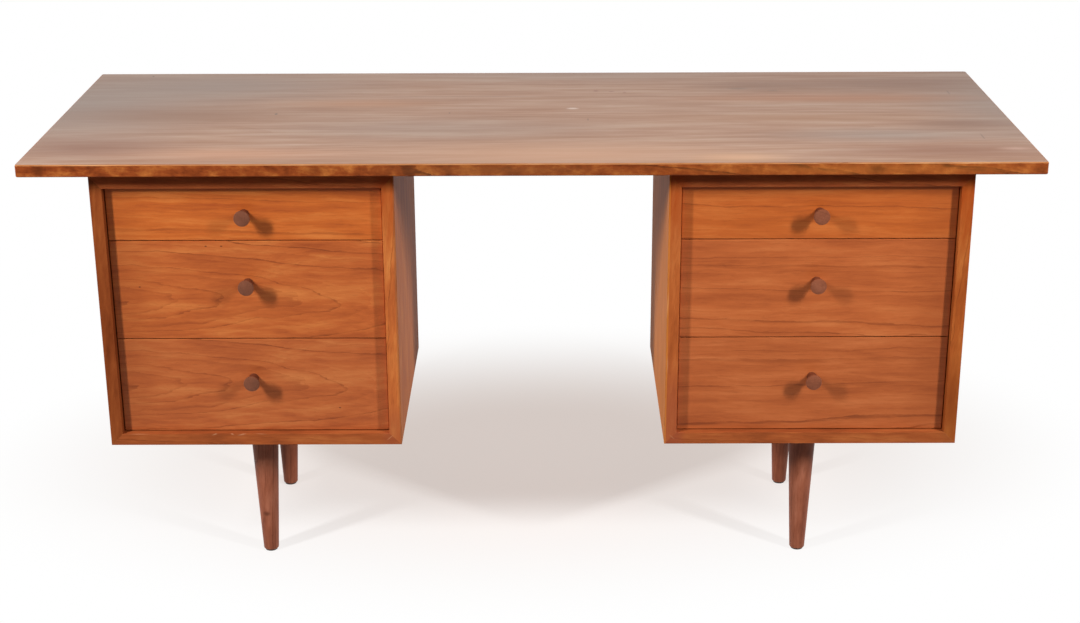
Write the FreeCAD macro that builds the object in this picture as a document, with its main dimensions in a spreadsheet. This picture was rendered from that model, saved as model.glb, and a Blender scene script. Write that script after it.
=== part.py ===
"""Kneehole desk: a slab top on two mitred drawer cases, each case on two turned legs.

Millimetres. +Z is up, the sitter's side faces -Y, and left and right are as the sitter sees them.
The origin is on the floor, under the middle of the slab.
"""
import FreeCAD, Part
import math
import os
import re
import Sketcher

# Driving dimensions: name, millimetres, what it measures.
SIZES = (
    ("top_thick", 21, "slab thickness"),
    ("top_corner", 4, "radius of the slab's corners in plan"),
    ("top_arris", 2, "radius of the slab's eased edges"),
    ("side_overhang", 108, "slab past a case, at each end"),
    ("front_setback", 38, "slab's front edge to the front of a case"),
    ("back_overhang", 148, "slab past the cases at the back"),
    ("spacer_thick", 10, "spacer between a case and the slab, thickness"),
    ("spacer_width", 40, "spacer, across"),
    ("spacer_inset", 40, "spacer, in from the case's front and back"),
    ("kneehole_width", 454, "clear space between the cases"),
    ("case_width", 503, "case, side to side"),
    ("case_depth", 462, "case, front to back"),
    ("case_thick", 21, "boards of the case"),
    ("case_ease", 1, "radius of the case's front edges"),
    ("spline_thick", 4, "mitre spline, thickness"),
    ("spline_width", 16, "mitre spline, across the mitre"),
    ("spline_stop", 40, "mitre spline, short of the case's front and back"),
    ("back_thick", 6, "case back"),
    ("back_rabbet", 10, "rabbet for the case back, into each board"),
    ("drawer_recess", 13, "case's front edge to the drawer fronts"),
    ("front_gap", 1.5, "gap round each drawer front"),
    ("front_thick", 20, "drawer front, thickness"),
    ("front_ease", 1, "radius of a drawer front's edges"),
    ("front_lap", 8, "wood left in front of the dovetails"),
    ("top_front", 92, "top drawer front, height"),
    ("middle_front", 174, "middle drawer front, height"),
    ("bottom_front", 169, "bottom drawer front, height"),
    ("side_thick", 13, "drawer side, thickness"),
    ("side_rise", 2, "drawer side above the front's lower edge"),
    ("side_drop", 6, "drawer side below the front's upper edge"),
    ("tail_pin", 7, "gap between two dovetails at their tips"),
    ("tail_splay", 2, "how far each flank of a dovetail leans"),
    ("drawer_end_room", 14, "drawer's end to the case back"),
    ("drawer_back_thick", 12, "drawer back, thickness"),
    ("drawer_back_inset", 10, "drawer back, in from the ends of the sides"),
    ("drawer_back_drop", 4, "drawer back below the sides' upper edges"),
    ("back_housing", 3, "depth of the housing that takes the drawer back"),
    ("bottom_thick", 6, "drawer bottom, thickness"),
    ("bottom_rise", 10, "drawer bottom above the sides' lower edges"),
    ("bottom_tongue", 6, "drawer bottom, into each groove"),
    ("runner_height", 16, "runner, height"),
    ("runner_groove", 6, "depth of the groove in a drawer side"),
    ("runner_play", 0.3, "running clearance round a runner"),
    ("runner_setback", 8, "runner's end behind the drawer front"),
    ("knob_projection", 29, "knob, out from the drawer front"),
    ("knob_face_dia", 27, "knob, across its face"),
    ("knob_base_dia", 17, "knob, across its base"),
    ("knob_rim", 4, "knob, thickness of its rim"),
    ("knob_hollow", 4.7, "knob, depth of its hollow neck"),
    ("knob_ease", 1, "knob, radius of its face's edge"),
    ("knob_tenon_dia", 10, "knob's tenon, diameter"),
    ("knob_tenon_lap", 4, "wood left behind the knob's tenon"),
    ("deep_knob_raise", 13, "knob above the middle of a deep drawer front"),
    ("leg_height", 248, "floor to the underside of a case"),
    ("leg_top_dia", 50, "leg, across its top"),
    ("leg_foot_dia", 27, "leg, across its foot"),
    ("leg_foot_ease", 2, "leg, radius of the foot's edge"),
    ("leg_inset", 92, "leg's axis in from the case's front or back"),
    ("glide_dia", 22, "glide, across its pad"),
    ("glide_height", 3, "glide, thickness of its pad"),
    ("glide_ease", 1, "glide, radius of its pad's lower edge"),
    ("glide_nail_dia", 3, "glide's nail, diameter"),
    ("glide_nail_length", 18, "glide's nail, into the leg"),
    ("plate_width", 64, "leg plate, across its sides"),
    ("plate_thick", 3, "leg plate, thickness"),
    ("plate_corner", 8, "leg plate, radius of its corners"),
    ("plate_screw_spacing", 44, "leg plate, screw to screw"),
    ("bolt_dia", 8, "hanger bolt, diameter"),
    ("bolt_in_leg", 40, "hanger bolt, into the leg"),
    ("bolt_in_case", 12, "hanger bolt, past the leg plate"),
    ("bolt_ease", 1, "hanger bolt, chamfer at its upper end"),
    ("screw_dia", 4.5, "heavy screw, diameter"),
    ("screw_head_dia", 9, "heavy screw, across its head"),
    ("small_screw_dia", 3.5, "light screw, diameter"),
    ("small_screw_head_dia", 7, "light screw, across its head"),
    ("top_screw_bite", 13, "slab screw, into the slab"),
    ("top_screw_inset", 60, "slab screw, in from the case's edges"),
    ("plate_screw_bite", 12, "leg plate's screw, into the case bottom"),
    ("runner_screw_bite", 12, "runner's screw, into the case side"),
    ("runner_screw_inset", 40, "runner's screw, in from the runner's ends"),
    ("back_screw_bite", 14, "case back's screw, into the case"),
    ("back_screw_inset", 90, "case back's screw, in from the case's corners"),
)

doc = FreeCAD.newDocument("kneehole_desk")
sheet = doc.addObject("Spreadsheet::Sheet", "Sizes")
for row, (alias, millimetres, meaning) in enumerate(SIZES, start=1):
    sheet.set(f"A{row}", meaning)
    sheet.set(f"B{row}", str(millimetres))
    sheet.setAlias(f"B{row}", alias)
doc.recompute()

# Lengths and places that follow from the driving dimensions, as formulas of their names.
CASE_HEIGHT = "(2*case_thick + 4*front_gap + top_front + middle_front + bottom_front)"
TOP_LENGTH = "(kneehole_width + 2*case_width + 2*side_overhang)"
TOP_DEPTH = "(front_setback + case_depth + back_overhang)"
CASE_TOP = f"(leg_height + {CASE_HEIGHT})"
TOP_UNDERSIDE = f"({CASE_TOP} + spacer_thick)"
CASE_FRONT = f"(front_setback - {TOP_DEPTH}/2)"
CASE_END = f"({CASE_FRONT} + case_depth)"
DRAWER_FACE = f"({CASE_FRONT} + drawer_recess)"
RUNNER_FRONT = f"({DRAWER_FACE} + front_thick + runner_setback)"
RUNNER_THICK = "(front_gap + runner_groove - runner_play)"
DRAWER_END = f"({CASE_END} - back_thick - drawer_end_room)"
CASE_LEFT_EDGE = {"left": "(-kneehole_width/2 - case_width)", "right": "(kneehole_width/2)"}
TAIL_COUNT = {"top": 2, "middle": 4, "bottom": 4}
UPWARDS = FreeCAD.Rotation()
LEFTWARDS = FreeCAD.Rotation(FreeCAD.Vector(0, 1, 0), -90)
RIGHTWARDS = FreeCAD.Rotation(FreeCAD.Vector(0, 1, 0), 90)
FORWARDS = FreeCAD.Rotation(FreeCAD.Vector(1, 0, 0), 90)
ROUGH_RADIUS = 100
HAIR = 1e-6

pieces = []


def on_sheet(formula):
    """Turn a formula of size names into an expression on the sheet's cells."""
    return re.sub(r"\b[a-z]+(?:_[a-z]+)*\b(?!\()", lambda word: "Sizes." + word.group(), formula)


def bind(item, prop, formula):
    item.setExpression(prop, on_sheet(formula))


def place(item, x, y, z, rotation=UPWARDS):
    item.Placement = FreeCAD.Placement(FreeCAD.Vector(), rotation)
    for axis, formula in zip("xyz", (x, y, z)):
        bind(item, "Placement.Base." + axis, formula)
    return item


def keep(name, item):
    """Name a finished piece and put it on the list of those that are written out."""
    item.Label = name
    pieces.append(item)
    return item


def board(name, length, width, height):
    """A plain sawn board, along X, Y and Z from its low corner."""
    box = doc.addObject("Part::Box", name)
    for prop, formula in zip(("Length", "Width", "Height"), (length, width, height)):
        bind(box, prop, formula)
    return box


def group(name, members):
    compound = doc.addObject("Part::Compound", name + "_group")
    compound.Links = members
    return compound


def fitted(name, blank, *rounds):
    """Let neighbours into a blank: cut their own shapes out of it, in one or more rounds.

    Neighbours that touch one another are cut in different rounds.
    """
    for neighbours in rounds:
        cut = doc.addObject("Part::Cut", name + "_cut")
        cut.Base = blank
        cut.Tool = group(name + "_neighbours", neighbours)
        blank = cut
    return keep(name, blank)


def copy_of(pattern, x, y, z, rotation=UPWARDS):
    link = doc.addObject("App::Link", pattern.Name + "_copy")
    link.LinkedObject = pattern
    return place(link, x, y, z, rotation)


def add_arc(sketch, chord, kind, size, across, along):
    """Bow one side of an outline: "round" bulges to a radius, "hollow" dips to a depth.

    The chord stays as a construction line, and across and along are the formulas of its two spans.
    """
    sketch.toggleConstruction(chord)
    span = sketch.getPoint(chord, 2).sub(sketch.getPoint(chord, 1))
    middle = sketch.getPoint(chord, 1).add(sketch.getPoint(chord, 2)).multiply(0.5)
    given = float(sheet.get(size))
    if kind == "round":
        ends = (1, 2)
        radius = given
        radius_formula = size
        inwards = FreeCAD.Vector(-span.y, span.x, 0).normalize()
    else:
        ends = (2, 1)
        radius = span.Length ** 2 / (8 * given) + given / 2
        radius_formula = f"(({across})^2 + ({along})^2)/(8*{size}) + {size}/2"
        inwards = FreeCAD.Vector(span.y, -span.x, 0).normalize()
    reach = math.sqrt(max(radius ** 2 - (span.Length / 2) ** 2, 0))
    centre = middle.add(inwards.multiply(reach))
    rays = [sketch.getPoint(chord, end).sub(centre) for end in ends]
    angles = [math.atan2(ray.y, ray.x) for ray in rays]
    circle = Part.Circle(centre, FreeCAD.Vector(0, 0, 1), radius)
    arc = sketch.addGeometry(Part.ArcOfCircle(circle, angles[0], angles[1]))
    for arc_end, chord_end in zip((1, 2), ends):
        sketch.addConstraint(Sketcher.Constraint("Coincident", arc, arc_end, chord, chord_end))
    constraint = sketch.addConstraint(Sketcher.Constraint("Radius", arc, radius))
    bind(sketch, f"Constraints[{constraint}]", radius_formula)


def outline(body, plane, corners):
    """Draw a closed outline through corners on one of the body's origin planes.

    A corner is a pair of formulas. Two more words bow the side that starts there (see add_arc).
    The sides start as a rough ring, and their distances from the origin pull them into place.
    """
    sketch = body.newObject("Sketcher::SketchObject", body.Name + "_outline")
    planes = [item for item in body.Origin.OriginFeatures if item.Role == plane]
    sketch.AttachmentSupport = (planes[0], [""])
    sketch.MapMode = "FlatFace"
    count = len(corners)
    turns = [2 * math.pi * number / count for number in range(count)]
    ring = [FreeCAD.Vector(math.cos(turn), math.sin(turn), 0) * ROUGH_RADIUS for turn in turns]
    following = [(number + 1) % count for number in range(count)]
    sketch.addGeometry([Part.LineSegment(ring[i], ring[following[i]]) for i in range(count)])
    sketch.addConstraint(
        [Sketcher.Constraint("Coincident", i, 2, following[i], 1) for i in range(count)]
    )
    for number, corner in enumerate(corners):
        for direction, formula in zip(("DistanceX", "DistanceY"), corner):
            distance = Sketcher.Constraint(direction, -1, 1, number, 1, ROUGH_RADIUS)
            constraint = sketch.addConstraint(distance)
            bind(sketch, f"Constraints[{constraint}]", formula)
    bowed = [number for number in range(count) if len(corners[number]) > 2]
    if bowed:
        sketch.recompute()
    for number in bowed:
        across, along, kind, size = corners[number]
        next_across, next_along = corners[following[number]][:2]
        add_arc(sketch, number, kind, size, f"{next_across} - ({across})", f"{next_along} - ({along})")
    return sketch


def extruded(name, plane, corners, thickness, backwards=False):
    """A flat piece of the outline's shape, as thick as given."""
    body = doc.addObject("PartDesign::Body", name)
    pad = body.newObject("PartDesign::Pad", name + "_pad")
    pad.Profile = outline(body, plane, corners)
    pad.Reversed = backwards
    bind(pad, "Length", thickness)
    return body


def turned(name, corners):
    """A turned piece: the outline, of radius and height, spun about Z."""
    body = doc.addObject("PartDesign::Body", name)
    sketch = outline(body, "XZ_Plane", corners)
    spin = body.newObject("PartDesign::Revolution", name + "_turning")
    spin.Profile = sketch
    spin.ReferenceAxis = (sketch, ["V_Axis"])
    spin.Angle = 360
    return body


def eased(body, radius, is_chosen):
    """Round the edges of a body that is_chosen picks from its shape so far."""
    sharp = body.Tip
    sharp.recompute(True)
    edges = enumerate(sharp.Shape.Edges, start=1)
    names = [f"Edge{number}" for number, edge in edges if is_chosen(edge)]
    fillet = body.newObject("PartDesign::Fillet", body.Name + "_ease")
    fillet.Base = (sharp, names)
    bind(fillet, "Radius", radius)
    return body


def is_upright(edge):
    return edge.BoundBox.ZLength > HAIR


def is_level(edge):
    return edge.BoundBox.ZLength < HAIR


def is_in_front(edge):
    return edge.BoundBox.YMax < HAIR


def is_square_in_front(edge):
    box = edge.BoundBox
    return is_in_front(edge) and min(box.XLength, box.ZLength) < HAIR


def screw(name, dia, head_dia, length):
    """A countersunk wood screw, its head's face at z = 0 and its point upwards."""
    corners = (
        ("0", "0"),
        (f"{head_dia}/2", "0"),
        (f"{dia}/2", f"({head_dia} - {dia})/2"),
        (f"{dia}/2", f"{length} - {dia}"),
        ("0", length),
    )
    return turned(name, corners)


# Fasteners of the cases. Each kind is turned once, and copies of it stand where it is driven.
top_screw = screw(
    "top_screw", "screw_dia", "screw_head_dia", "case_thick + spacer_thick + top_screw_bite"
)
plate_screw = screw("plate_screw", "screw_dia", "screw_head_dia", "plate_thick + plate_screw_bite")
runner_screw = screw(
    "runner_screw", "small_screw_dia", "small_screw_head_dia", f"{RUNNER_THICK} + runner_screw_bite"
)
back_screw = screw("back_screw", "small_screw_dia", "small_screw_head_dia", "back_thick + back_screw_bite")

# Hanger bolt: pointed in the leg, with machine thread through the plate. z = 0 is its point.
bolt_length = "(bolt_in_leg + plate_thick + bolt_in_case)"
bolt = turned("bolt", (
    ("0", "0"),
    ("bolt_dia/2", "bolt_dia"),
    ("bolt_dia/2", f"{bolt_length} - bolt_ease"),
    ("bolt_dia/2 - bolt_ease", bolt_length),
    ("0", bolt_length),
))

# Glide: a round pad on the floor with a nail that is driven into the foot.
glide = turned("glide", (
    ("0", "0"),
    ("glide_dia/2 - glide_ease", "0", "round", "glide_ease"),
    ("glide_dia/2", "glide_ease"),
    ("glide_dia/2", "glide_height"),
    ("glide_nail_dia/2", "glide_height"),
    ("glide_nail_dia/2", "glide_height + glide_nail_length - glide_nail_dia"),
    ("0", "glide_height + glide_nail_length"),
))

# Leg plate: a square steel plate with round corners, let in flush under the case.
plate = extruded("plate", "XY_Plane", (
    ("0", "0"),
    ("plate_width", "0"),
    ("plate_width", "plate_width"),
    ("0", "plate_width"),
), "plate_thick")
eased(plate, "plate_corner", is_upright)

# Where the legs stand: on each case's centre line, near its front and near its back.
leg_places = {}
for case, left_edge in CASE_LEFT_EDGE.items():
    leg_places[case, "front"] = (f"{left_edge} + case_width/2", f"{CASE_FRONT} + leg_inset")
    leg_places[case, "back"] = (f"{left_edge} + case_width/2", f"{CASE_END} - leg_inset")

bolt_copies = []
glide_copies = []
plate_copies = []
plate_screw_copies = []
for leg_x, leg_y in leg_places.values():
    bolt_copies.append(copy_of(bolt, leg_x, leg_y, "leg_height - bolt_in_leg"))
    glide_copies.append(copy_of(glide, leg_x, leg_y, "0"))
    plate_corner = (f"{leg_x} - plate_width/2", f"{leg_y} - plate_width/2", "leg_height")
    plate_copies.append(copy_of(plate, *plate_corner))
    for side in ("-", "+"):
        for end in ("-", "+"):
            screw_x = f"{leg_x} {side} plate_screw_spacing/2"
            screw_y = f"{leg_y} {end} plate_screw_spacing/2"
            plate_screw_copies.append(copy_of(plate_screw, screw_x, screw_y, "leg_height"))
leg_bolts = keep("leg_bolts", group("leg_bolts", bolt_copies))
foot_glides = keep("foot_glides", group("foot_glides", glide_copies))
plate_screws = keep("plate_screws", group("plate_screws", plate_screw_copies))
plate_blanks = group("plate_blanks", plate_copies)
fitted("leg_plates", plate_blanks, [leg_bolts, plate_screws])

# Legs: turned, straight and tapered to the foot, bored for the bolt and the glide's nail.
for (case, end), (leg_x, leg_y) in leg_places.items():
    leg = turned(f"{case}_{end}_leg_turning", (
        ("0", "glide_height"),
        ("leg_foot_dia/2 - leg_foot_ease", "glide_height", "round", "leg_foot_ease"),
        ("leg_foot_dia/2", "glide_height + leg_foot_ease"),
        ("leg_top_dia/2", "leg_height"),
        ("0", "leg_height"),
    ))
    fitted(f"{case}_{end}_leg", place(leg, leg_x, leg_y, "0"), [leg_bolts, foot_glides])

# Drawers of a case, from the bottom up: the height of each front, and the knob above its middle.
LEVELS = {
    "bottom": ("bottom_front", "deep_knob_raise"),
    "middle": ("middle_front", "deep_knob_raise"),
    "top": ("top_front", "0"),
}
front_bottoms = {"bottom": "(leg_height + case_thick + front_gap)"}
front_bottoms["middle"] = f"({front_bottoms['bottom']} + bottom_front + front_gap)"
front_bottoms["top"] = f"({front_bottoms['middle']} + middle_front + front_gap)"


def drawer_side(name, level, height):
    """A drawer side, outline and thickness only: y = 0 at the tips of its dovetails."""
    shoulder = "(front_thick - front_lap)"
    length = f"({DRAWER_END} - {DRAWER_FACE} - front_lap)"
    count = TAIL_COUNT[level]
    pitch = f"({height})/{count}"
    corners = [(length, height), (length, "0"), (shoulder, "0")]
    for number in range(count):
        low_tip = f"{pitch}*{number} + tail_pin/2"
        high_tip = f"{pitch}*{number + 1} - tail_pin/2"
        corners.append((shoulder, f"{low_tip} + tail_splay"))
        corners.append(("0", low_tip))
        corners.append(("0", high_tip))
        corners.append((shoulder, f"{high_tip} - tail_splay"))
    corners.append((shoulder, height))
    return extruded(name, "YZ_Plane", corners, "side_thick")


def drawer(case, level):
    """One drawer and the runners that carry it. Returns its two runners, before they are bored."""
    name = f"{case}_{level}_drawer"
    front_height, knob_raise = LEVELS[level]
    low_z = front_bottoms[level]
    left = f"({CASE_LEFT_EDGE[case]} + case_thick + front_gap)"
    right = f"({CASE_LEFT_EDGE[case]} + case_width - case_thick - front_gap)"
    inside_left = f"({left} + side_thick)"
    inside_width = f"({right} - {left} - 2*side_thick)"
    side_height = f"({front_height} - side_rise - side_drop)"
    side_z = f"({low_z} + side_rise)"
    middle_z = f"({low_z} + {front_height}/2)"
    bottom_z = f"({side_z} + bottom_rise)"
    bottom_y = f"({DRAWER_FACE} + front_thick - bottom_tongue)"

    bottom = board(
        name + "_bottom", f"{inside_width} + 2*bottom_tongue", f"{DRAWER_END} - {bottom_y}", "bottom_thick"
    )
    keep(name + "_bottom", place(bottom, f"{inside_left} - bottom_tongue", bottom_y, bottom_z))

    back = board(
        name + "_back",
        f"{inside_width} + 2*back_housing",
        "drawer_back_thick",
        f"{side_height} - bottom_rise - bottom_thick - drawer_back_drop",
    )
    back_y = f"{DRAWER_END} - drawer_back_inset - drawer_back_thick"
    keep(name + "_back", place(back, f"{inside_left} - back_housing", back_y, f"{bottom_z} + bottom_thick"))

    # A runner is screwed to each side of the case, and a groove in the drawer's side rides on it.
    slot_length = f"{DRAWER_END} - {RUNNER_FRONT} + runner_play"
    slot_z = f"{middle_z} - runner_height/2 - runner_play"
    runner_length = f"{CASE_END} - back_thick - {RUNNER_FRONT}"
    slot_left = {"left": left, "right": f"{right} - runner_groove"}
    side_left = {"left": left, "right": f"{right} - side_thick"}
    runner_left = {"left": f"{left} - front_gap", "right": f"{right} + front_gap - {RUNNER_THICK}"}
    side_blanks = []
    runners = []
    for hand in ("left", "right"):
        runner = board(f"{name}_{hand}_runner", RUNNER_THICK, runner_length, "runner_height")
        runners.append(place(runner, runner_left[hand], RUNNER_FRONT, f"{middle_z} - runner_height/2"))
        slot = board(f"{name}_{hand}_slot", "runner_groove", slot_length, "runner_height + 2*runner_play")
        place(slot, slot_left[hand], f"{RUNNER_FRONT} - runner_play", slot_z)
        blank = drawer_side(f"{name}_{hand}_side_blank", level, side_height)
        place(blank, side_left[hand], f"{DRAWER_FACE} + front_lap", side_z)
        side_blanks.append(blank)
        fitted(f"{name}_{hand}_side", blank, [slot, bottom], [back])

    # Knob: a turned trumpet with a flat face, whose tenon is glued into the front.
    tenon = "(front_thick - knob_tenon_lap)"
    face = f"({tenon} + knob_projection)"
    knob = turned(name + "_knob", (
        ("0", "0"),
        ("knob_tenon_dia/2", "0"),
        ("knob_tenon_dia/2", tenon),
        ("knob_base_dia/2", tenon, "hollow", "knob_hollow"),
        ("knob_face_dia/2", f"{face} - knob_rim"),
        ("knob_face_dia/2", f"{face} - knob_ease", "round", "knob_ease"),
        ("knob_face_dia/2 - knob_ease", face),
        ("0", face),
    ))
    knob_z = f"{middle_z} + {knob_raise}"
    keep(name + "_knob", place(knob, f"({left} + {right})/2", f"{DRAWER_FACE} + {tenon}", knob_z, FORWARDS))

    # Front: a board with eased edges, cut for the sides' dovetails, the bottom and the knob's tenon.
    front_width = f"({right} - {left})"
    front = extruded(name + "_front_blank", "XZ_Plane", (
        ("0", "0"),
        (front_width, "0"),
        (front_width, front_height),
        ("0", front_height),
    ), "front_thick", backwards=True)
    eased(front, "front_ease", is_in_front)
    place(front, left, DRAWER_FACE, low_z)
    fitted(name + "_front", front, side_blanks + [knob], [bottom])
    return runners


runner_blanks = []
runner_screw_copies = []
for case in CASE_LEFT_EDGE:
    left_x = f"{CASE_LEFT_EDGE[case]} + case_thick + {RUNNER_THICK}"
    right_x = f"{CASE_LEFT_EDGE[case]} + case_width - case_thick - {RUNNER_THICK}"
    front_y = f"{RUNNER_FRONT} + runner_screw_inset"
    back_y = f"{CASE_END} - back_thick - runner_screw_inset"
    for level, (front_height, knob_raise) in LEVELS.items():
        runner_blanks.extend(drawer(case, level))
        screw_z = f"{front_bottoms[level]} + {front_height}/2"
        for screw_y in (front_y, back_y):
            runner_screw_copies.append(copy_of(runner_screw, left_x, screw_y, screw_z, LEFTWARDS))
            runner_screw_copies.append(copy_of(runner_screw, right_x, screw_y, screw_z, RIGHTWARDS))
runner_screws = group("runner_screws", runner_screw_copies)
fitted("drawer_runners", group("runner_blanks", runner_blanks), [runner_screws])

# Mitre splines: a strip glued across each mitre, short of the case's front and back.
far_reach = "(spline_width + spline_thick)/(2*sqrt(2))"
near_reach = "(spline_width - spline_thick)/(2*sqrt(2))"
spline_section = (
    (f"case_thick/2 - {near_reach}", f"case_thick/2 + {far_reach}"),
    (f"case_thick/2 - {far_reach}", f"case_thick/2 + {near_reach}"),
    (f"case_thick/2 + {near_reach}", f"case_thick/2 - {far_reach}"),
    (f"case_thick/2 + {far_reach}", f"case_thick/2 - {near_reach}"),
)
spline_length = "case_depth - 2*spline_stop"
spline_groups = {}
for case, left_edge in CASE_LEFT_EDGE.items():
    strips = []
    for side in ("left", "right"):
        for level in ("bottom", "top"):
            corners = []
            for across, up in spline_section:
                corner_x = across if side == "left" else f"case_width - ({across})"
                corner_z = up if level == "bottom" else f"{CASE_HEIGHT} - ({up})"
                corners.append((corner_x, corner_z))
            name = f"{case}_case_{side}_{level}_spline"
            strip = extruded(name, "XZ_Plane", corners, spline_length, backwards=True)
            strips.append(place(strip, left_edge, f"{CASE_FRONT} + spline_stop", "leg_height"))
    spline_groups[case] = group(f"{case}_case_splines", strips)
keep("case_splines", group("case_splines", list(spline_groups.values())))

# Screws of the case backs, driven forwards into the rabbets, and of the slab, driven upwards.
back_screw_copies = []
top_screw_copies = []
screw_line = "(case_thick - back_rabbet/2)"
for case, left_edge in CASE_LEFT_EDGE.items():
    right_edge = f"{left_edge} + case_width"
    side_xs = (f"{left_edge} + {screw_line}", f"{right_edge} - {screw_line}")
    side_zs = ("leg_height + back_screw_inset", f"{CASE_TOP} - back_screw_inset")
    level_xs = (f"{left_edge} + back_screw_inset", f"{right_edge} - back_screw_inset")
    level_zs = (f"leg_height + {screw_line}", f"{CASE_TOP} - {screw_line}")
    for screw_xs, screw_zs in ((side_xs, side_zs), (level_xs, level_zs)):
        for screw_x in screw_xs:
            for screw_z in screw_zs:
                back_screw_copies.append(copy_of(back_screw, screw_x, CASE_END, screw_z, FORWARDS))
    for screw_x in (f"{left_edge} + top_screw_inset", f"{right_edge} - top_screw_inset"):
        for screw_y in (f"{CASE_FRONT} + top_screw_inset", f"{CASE_END} - top_screw_inset"):
            top_screw_copies.append(copy_of(top_screw, screw_x, screw_y, f"{CASE_TOP} - case_thick"))
back_screws = group("back_screws", back_screw_copies)
keep("light_screws", group("light_screws", [runner_screws, back_screws]))
top_screws = keep("top_screws", group("top_screws", top_screw_copies))

# Spacers: two battens on each case, along its screws, that hold the slab clear of it.
spacers = []
spacer_y = f"{CASE_FRONT} + spacer_inset"
for case, left_edge in CASE_LEFT_EDGE.items():
    for screw_x in (f"{left_edge} + top_screw_inset", f"{left_edge} + case_width - top_screw_inset"):
        spacer = board(f"{case}_spacer", "spacer_width", "case_depth - 2*spacer_inset", "spacer_thick")
        spacers.append(place(spacer, f"{screw_x} - spacer_width/2", spacer_y, CASE_TOP))
fitted("top_spacers", group("spacer_blanks", spacers), [top_screws])

# Cases: four mitred boards round a back panel in a rabbet.
far_x = "(case_width - case_thick)"
far_z = f"({CASE_HEIGHT} - case_thick)"
outer_corners = (("0", "0"), ("case_width", "0"), ("case_width", CASE_HEIGHT), ("0", CASE_HEIGHT))
inner_corners = (
    ("case_thick", "case_thick"), (far_x, "case_thick"), (far_x, far_z), ("case_thick", far_z)
)
case_boards = {
    "left": ("bottom", "inner_side", "top", "outer_side"),
    "right": ("bottom", "outer_side", "top", "inner_side"),
}
plates_of = {"bottom": [plate_blanks], "top": [], "inner_side": [], "outer_side": []}
fasteners_of = {
    "bottom": [leg_bolts, plate_screws],
    "top": [top_screws],
    "inner_side": [runner_screws],
    "outer_side": [runner_screws],
}
rabbet_edge = "(case_thick - back_rabbet)"
for case, left_edge in CASE_LEFT_EDGE.items():
    back_width = f"case_width - 2*{rabbet_edge}"
    back_height = f"{CASE_HEIGHT} - 2*{rabbet_edge}"
    back_blank = board(f"{case}_case_back_blank", back_width, "back_thick", back_height)
    back_place = (f"{left_edge} + {rabbet_edge}", f"{CASE_END} - back_thick", f"leg_height + {rabbet_edge}")
    fitted(f"{case}_case_back", place(back_blank, *back_place), [back_screws])
    for number, board_name in enumerate(case_boards[case]):
        following = (number + 1) % len(outer_corners)
        mitred = (
            outer_corners[number],
            outer_corners[following],
            inner_corners[following],
            inner_corners[number],
        )
        name = f"{case}_case_{board_name}"
        blank = extruded(name + "_blank", "XZ_Plane", mitred, "case_depth", backwards=True)
        eased(blank, "case_ease", is_square_in_front)
        place(blank, left_edge, CASE_FRONT, "leg_height")
        let_in = [back_blank] + plates_of[board_name]
        driven_in = [spline_groups[case], back_screws] + fasteners_of[board_name]
        fitted(name, blank, let_in, driven_in)

# Desk top: one slab with rounded corners and eased edges, bored for the screws from the cases.
slab = extruded("slab", "XY_Plane", (
    ("0", "0"),
    (TOP_LENGTH, "0"),
    (TOP_LENGTH, TOP_DEPTH),
    ("0", TOP_DEPTH),
), "top_thick")
eased(slab, "top_corner", is_upright)
eased(slab, "top_arris", is_level)
place(slab, f"-{TOP_LENGTH}/2", f"-{TOP_DEPTH}/2", TOP_UNDERSIDE)
fitted("desk_top", slab, [top_screws])

doc.recompute()
for item in doc.Objects:
    if "Invalid" in item.State or "Error" in item.State:
        raise RuntimeError(f"{item.Label} could not be computed: {item.State}")
for piece in pieces:
    if piece.Shape.isNull() or not piece.Shape.isValid() or not piece.Shape.Solids:
        raise RuntimeError(f"{piece.Label} has no valid solid")

os.makedirs("parts", exist_ok=True)
for piece in pieces:
    piece.Shape.exportStep(f"parts/{piece.Label}.step")
    print(piece.Label, len(piece.Shape.Solids), "solids", round(piece.Shape.Volume / 1000, 1), "cm3")
print(len(pieces), "pieces")
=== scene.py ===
"""A walnut kneehole desk: two cases of drawers on turned legs, under one long slab."""

import math

import bpy
from mathutils import Euler, Matrix, Vector


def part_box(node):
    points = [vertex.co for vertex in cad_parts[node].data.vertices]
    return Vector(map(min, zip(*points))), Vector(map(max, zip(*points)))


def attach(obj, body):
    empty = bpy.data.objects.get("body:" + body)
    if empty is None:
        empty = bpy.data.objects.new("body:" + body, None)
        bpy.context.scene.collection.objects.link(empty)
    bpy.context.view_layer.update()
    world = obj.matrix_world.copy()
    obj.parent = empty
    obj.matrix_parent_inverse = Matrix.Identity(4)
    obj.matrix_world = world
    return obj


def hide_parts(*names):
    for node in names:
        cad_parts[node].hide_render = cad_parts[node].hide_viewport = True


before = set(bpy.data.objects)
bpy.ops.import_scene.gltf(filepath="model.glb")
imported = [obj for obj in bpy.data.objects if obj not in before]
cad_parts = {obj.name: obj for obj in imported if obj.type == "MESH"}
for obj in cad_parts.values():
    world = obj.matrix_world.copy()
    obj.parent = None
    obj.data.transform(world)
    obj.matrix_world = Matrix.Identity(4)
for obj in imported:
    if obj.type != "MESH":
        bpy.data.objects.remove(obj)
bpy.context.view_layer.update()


# Cases: two boxes of solid walnut boards, 21 mm thick, mitred at the four corners.
# The grain runs round each box, up its sides and along its top and bottom.
# The boards are oiled, and rubbed paler along the arrises that hands and knees touch.
def linear(hex_colour):
    """An sRGB hex colour as the linear red, green, blue and alpha that a node takes."""
    shares = [int(hex_colour[start:start + 2], 16) / 255 for start in (1, 3, 5)]
    return [
        share / 12.92 if share <= 0.04045 else ((share + 0.055) / 1.055) ** 2.4
        for share in shares
    ] + [1]


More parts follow.
